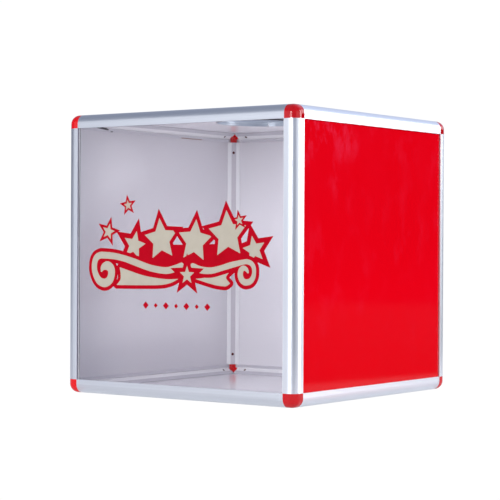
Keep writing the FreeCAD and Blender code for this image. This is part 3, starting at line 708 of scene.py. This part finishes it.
floor_mesh = bpy.data.meshes.new("floor")
n = 64
pts = [(FLOOR_R * math.cos(2 * math.pi * k / n), FLOOR_R * math.sin(2 * math.pi * k / n), -0.0002) for k in range(n)]
floor_mesh.from_pydata(pts, [], [list(range(n))])
floor = bpy.data.objects.new("floor", floor_mesh)
bpy.context.scene.collection.objects.link(floor)
fm = Mat("floor_pale")
grain = fm.noise(30.0, 3.0, 0.6)
tone = fm.mix(fm.remap(grain, 0.3, 0.7), (FLOOR_TONE, FLOOR_TONE, FLOOR_TONE * 1.02, 1), (FLOOR_TONE * 0.97, FLOOR_TONE * 0.97, FLOOR_TONE, 1))
for az, near, far, dark in FLOOR_FADES:
    side = fm.new("ShaderNodeVectorMath", operation="DOT_PRODUCT")
    fm.link(fm.coord, side.inputs[0])
    side.inputs[1].default_value = (math.cos(math.radians(az)), math.sin(math.radians(az)), 0.0)
    tone = fm.mix(fm.remap(side.outputs["Value"], near, far, smooth=True), tone, (dark, dark, dark * 1.15, 1))
dull = fm.mix(0.38, tone, (0, 0, 0, 1))
paper = fm.shader(Base_Color=dull, Roughness=0.8, Specular_IOR_Level=0.1, Emission_Color=tone, Emission_Strength=FLOOR_GLOW)
glow = fm.new("ShaderNodeEmission")
glow.inputs[0].default_value = (1, 1, 1, 1)
glow.inputs[1].default_value = 1.02
f_path = fm.new("ShaderNodeLightPath")
f_mix = fm.new("ShaderNodeMixShader")
fm.link(f_path.outputs["Is Camera Ray"], f_mix.inputs[0])
fm.link(paper, f_mix.inputs[1])
fm.link(glow.outputs[0], f_mix.inputs[2])
floor_mesh.materials.append(fm.done(f_mix.outputs[0]))

world = bpy.data.worlds.new("studio")
bpy.context.scene.world = world
world.use_nodes = True
wt = world.node_tree
wt.nodes.clear()
w_out = wt.nodes.new("ShaderNodeOutputWorld")
w_bg = wt.nodes.new("ShaderNodeBackground")
w_tc = wt.nodes.new("ShaderNodeTexCoord")
w_sep = wt.nodes.new("ShaderNodeSeparateXYZ")
wt.links.new(w_tc.outputs["Generated"], w_sep.inputs[0])


def w_node(kind, **values):
    n = wt.nodes.new(kind)
    for k, v in values.items():
        setattr(n, k, v)
    return n


def w_map(value, a, b, lo, hi):
    m = w_node("ShaderNodeMapRange", interpolation_type="SMOOTHSTEP")
    m.inputs["From Min"].default_value = a
    m.inputs["From Max"].default_value = b
    m.inputs["To Min"].default_value = lo
    m.inputs["To Max"].default_value = hi
    wt.links.new(value, m.inputs["Value"])
    return m.outputs[0]


def w_math(op, a, b):
    m = w_node("ShaderNodeMath", operation=op)
    for sock, v in zip(m.inputs, (a, b)):
        if isinstance(v, bpy.types.NodeSocket):
            wt.links.new(v, sock)
        else:
            sock.default_value = v
    return m.outputs[0]


def w_towards(vec):
    """Cosine of the angle to a direction of the studio."""
    m = w_node("ShaderNodeVectorMath", operation="DOT_PRODUCT")
    wt.links.new(w_tc.outputs["Generated"], m.inputs[0])
    m.inputs[1].default_value = Vector(vec).normalized()
    return m.outputs["Value"]


def toward(az, el):
    """Unit vector at azimuth az (from +X to +Y) and elevation el, degrees."""
    a, e = math.radians(az), math.radians(el)
    return (math.cos(a) * math.cos(e), math.sin(a) * math.cos(e), math.sin(e))


level = w_math("ADD", BASE, 0.0)
for az, el, full, none, gain in GLOWS:
    spot = w_map(w_towards(toward(az, el)), math.cos(math.radians(none)), math.cos(math.radians(full)), 0.0, gain)
    level = w_math("ADD", level, spot)
for az, el, full, none, factor in SHADES:
    spot = w_map(w_towards(toward(az, el)), math.cos(math.radians(none)), math.cos(math.radians(full)), 1.0, factor)
    level = w_math("MULTIPLY", level, spot)
w_path = w_node("ShaderNodeLightPath")
seen = w_math("MULTIPLY", w_path.outputs["Is Camera Ray"], 1.0)
w_mix = w_node("ShaderNodeMix", data_type="FLOAT")
wt.links.new(seen, w_mix.inputs[0])
wt.links.new(level, w_mix.inputs[2])
w_mix.inputs[3].default_value = 1.02
wt.links.new(w_mix.outputs[0], w_bg.inputs["Strength"])
w_tint = w_node("ShaderNodeMix", data_type="RGBA")
wt.links.new(seen, w_tint.inputs[0])
w_tint.inputs[6].default_value = (0.86, 0.955, 1.24, 1)
w_tint.inputs[7].default_value = (1.0, 1.0, 1.0, 1)
wt.links.new(w_tint.outputs[2], w_bg.inputs["Color"])
wt.links.new(w_bg.outputs[0], w_out.inputs["Surface"])


def softbox(name, az, half, low, high, radiance, glossy=True, away=6.0):
    """Upright soft light, aimed level at the box, seen in gloss but not itself."""
    width = 2 * away * math.tan(math.radians(half))
    z0, z1 = (0.2 + away * math.tan(math.radians(e)) for e in (low, high))
    data = bpy.data.lights.new(name, "AREA")
    data.shape = "RECTANGLE"
    data.size, data.size_y = width, z1 - z0
    data.energy = radiance * math.pi * width * (z1 - z0)
    ob = bpy.data.objects.new(name, data)
    x, y, _ = toward(az, 0)
    ob.location = (away * x, away * y, (z0 + z1) / 2)
    ob.rotation_euler = Vector((-x, -y, 0)).to_track_quat("-Z", "Y").to_euler()
    ob.visible_camera = False
    ob.visible_glossy = glossy
    bpy.context.scene.collection.objects.link(ob)
    return ob


for row in SOFTBOXES:
    softbox(*row)

# two cards in the box: one lies there and throws light up at the top board,
# the other hangs under the top board for the light that falls through the hole
for label, height, aim, size, spread, level in (
    ("card_inside", 0.03, 1.0, 0.32, 130, 0.86),
    ("card_above", 0.372, -1.0, 0.30, 80, 0.26),
):
    card = bpy.data.lights.new(label, "AREA")
    card.shape = "SQUARE"
    card.size = size
    card.spread = math.radians(spread)
    card.energy = level * math.pi * size * size
    inside = bpy.data.objects.new(label, card)
    inside.location = (0.0, 0.0, height)
    inside.rotation_euler = Vector((0.0, 0.0, aim)).to_track_quat("-Z", "Y").to_euler()
    inside.visible_camera = False
    inside.visible_glossy = False
    inside.visible_transmission = False
    bpy.context.scene.collection.objects.link(inside)

cam_data = bpy.data.cameras.new("camera")
cam = bpy.data.objects.new("camera", cam_data)
bpy.context.scene.collection.objects.link(cam)
bpy.context.scene.camera = cam
F_PX, YAW, PITCH, ROLL = 1666.15, 0.6277, -0.0032, 0.0051
cam_data.sensor_fit = "HORIZONTAL"
cam_data.sensor_width = 36.0
cam_data.lens = F_PX / 500.0 * 36.0
cam_data.clip_start = 0.05
cam_data.clip_end = 60.0
d = Vector((-math.sin(YAW) * math.cos(PITCH), math.cos(YAW) * math.cos(PITCH), math.sin(PITCH)))
r = Vector((math.cos(YAW), math.sin(YAW), 0.0))
u = r.cross(d)
c, s = math.cos(ROLL), math.sin(ROLL)
r2 = c * r + s * u
u2 = -s * r + c * u
cam.matrix_world = Matrix((
    (r2.x, u2.x, -d.x, 1.42744),
    (r2.y, u2.y, -d.y, -1.99272),
    (r2.z, u2.z, -d.z, 0.21448),
    (0, 0, 0, 1),
))

bpy.context.scene.view_settings.view_transform = "Standard"
bpy.context.scene.view_settings.look = "None"
